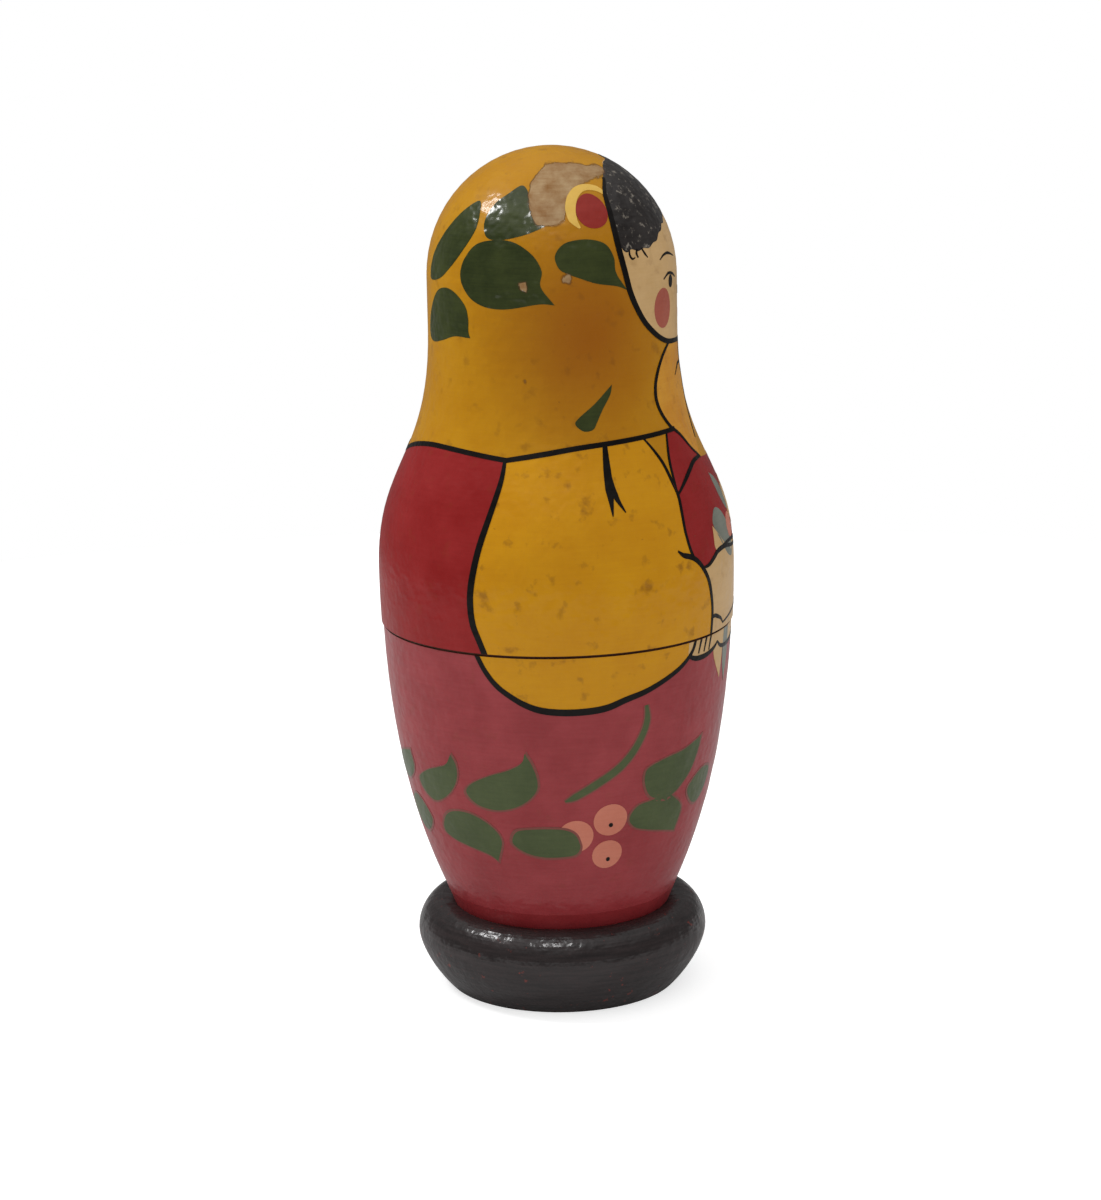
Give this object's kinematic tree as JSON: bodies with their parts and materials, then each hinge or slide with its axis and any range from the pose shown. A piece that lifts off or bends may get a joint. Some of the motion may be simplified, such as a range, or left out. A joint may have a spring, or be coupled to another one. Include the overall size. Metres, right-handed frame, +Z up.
{
  "type": "nesting doll",
  "caption": "Turned wooden nesting doll with a painted kerchief, leaves and berries on a black ring plinth; its halves lift apart at a plugged seam over smaller dolls.",
  "frame": {"origin": "centre of the outer doll's flat underside, on the surface that it stands on", "axes": "+Z up along the turning axis, -Y the way the painted faces look, +X the dolls' left hand side"},
  "size_m": [0.071, 0.071, 0.17],
  "materials": {
    "upper_paint": "brush-painted ochre yellow under gloss varnish, bare wood inside",
    "lower_paint": "brush-painted faded red under gloss varnish, bare wood inside",
    "plinth_lacquer": "gloss black lacquer"
  },
  "bodies": {
    "doll1_lower": {"doll1_lower_half": "lower_paint", "doll1_plinth": "plinth_lacquer"},
    "doll1_upper": {"doll1_upper_half": "upper_paint"},
    "doll2_lower": {"doll2_lower_half": "lower_paint", "doll2_plinth": "plinth_lacquer"},
    "doll2_upper": {"doll2_upper_half": "upper_paint"},
    "doll3_lower": {"doll3_lower_half": "lower_paint", "doll3_plinth": "plinth_lacquer"},
    "doll3_upper": {"doll3_upper_half": "upper_paint"},
    "doll4_lower": {"doll4_lower_half": "lower_paint", "doll4_plinth": "plinth_lacquer"},
    "doll4_upper": {"doll4_upper_half": "upper_paint"},
    "doll5_lower": {"doll5_lower_half": "lower_paint", "doll5_plinth": "plinth_lacquer"},
    "doll5_upper": {"doll5_upper_half": "upper_paint"},
    "doll6_lower": {"doll6_lower_half": "lower_paint", "doll6_plinth": "plinth_lacquer"},
    "doll6_upper": {"doll6_upper_half": "upper_paint"},
    "doll7": {"doll7_figure": "upper_paint", "doll7_plinth": "plinth_lacquer"}
  },
  "joints": [
    {"name": "doll1_upper_lift", "type": "slide", "parent": "doll1_lower", "child": "doll1_upper", "axis": [0, 0, 1], "range_m": [0, 0.5]},
    {"name": "doll2_lift", "type": "slide", "parent": "doll1_lower", "child": "doll2_lower", "axis": [0, 0, 1], "range_m": [0, 0.05832]},
    {"name": "doll2_upper_lift", "type": "slide", "parent": "doll2_lower", "child": "doll2_upper", "axis": [0, 0, 1], "range_m": [0, 0.35455]},
    {"name": "doll3_lift", "type": "slide", "parent": "doll2_lower", "child": "doll3_lower", "axis": [0, 0, 1], "range_m": [0, 0.04488]},
    {"name": "doll3_upper_lift", "type": "slide", "parent": "doll3_lower", "child": "doll3_upper", "axis": [0, 0, 1], "range_m": [0, 0.24263]},
    {"name": "doll4_lift", "type": "slide", "parent": "doll3_lower", "child": "doll4_lower", "axis": [0, 0, 1], "range_m": [0, 0.03454]},
    {"name": "doll4_upper_lift", "type": "slide", "parent": "doll4_lower", "child": "doll4_upper", "axis": [0, 0, 1], "range_m": [0, 0.15651]},
    {"name": "doll5_lift", "type": "slide", "parent": "doll4_lower", "child": "doll5_lower", "axis": [0, 0, 1], "range_m": [0, 0.02658]},
    {"name": "doll5_upper_lift", "type": "slide", "parent": "doll5_lower", "child": "doll5_upper", "axis": [0, 0, 1], "range_m": [0, 0.09024]},
    {"name": "doll6_lift", "type": "slide", "parent": "doll5_lower", "child": "doll6_lower", "axis": [0, 0, 1], "range_m": [0, 0.02045]},
    {"name": "doll6_upper_lift", "type": "slide", "parent": "doll6_lower", "child": "doll6_upper", "axis": [0, 0, 1], "range_m": [0, 0.03924]},
    {"name": "doll7_lift", "type": "slide", "parent": "doll6_lower", "child": "doll7", "axis": [0, 0, 1], "range_m": [0, 0.01574]}
  ],
  "couplings": [
    {"joint": "doll2_lift", "follows": "doll1_upper_lift", "ratio": 0.11664},
    {"joint": "doll2_upper_lift", "follows": "doll1_upper_lift", "ratio": 0.7091},
    {"joint": "doll3_lift", "follows": "doll1_upper_lift", "ratio": 0.089751},
    {"joint": "doll3_upper_lift", "follows": "doll1_upper_lift", "ratio": 0.48526},
    {"joint": "doll4_lift", "follows": "doll1_upper_lift", "ratio": 0.069062},
    {"joint": "doll4_upper_lift", "follows": "doll1_upper_lift", "ratio": 0.31301},
    {"joint": "doll5_lift", "follows": "doll1_upper_lift", "ratio": 0.053143},
    {"joint": "doll5_upper_lift", "follows": "doll1_upper_lift", "ratio": 0.18047},
    {"joint": "doll6_lift", "follows": "doll1_upper_lift", "ratio": 0.040893},
    {"joint": "doll6_upper_lift", "follows": "doll1_upper_lift", "ratio": 0.078479},
    {"joint": "doll7_lift", "follows": "doll1_upper_lift", "ratio": 0.031466}
  ]
}
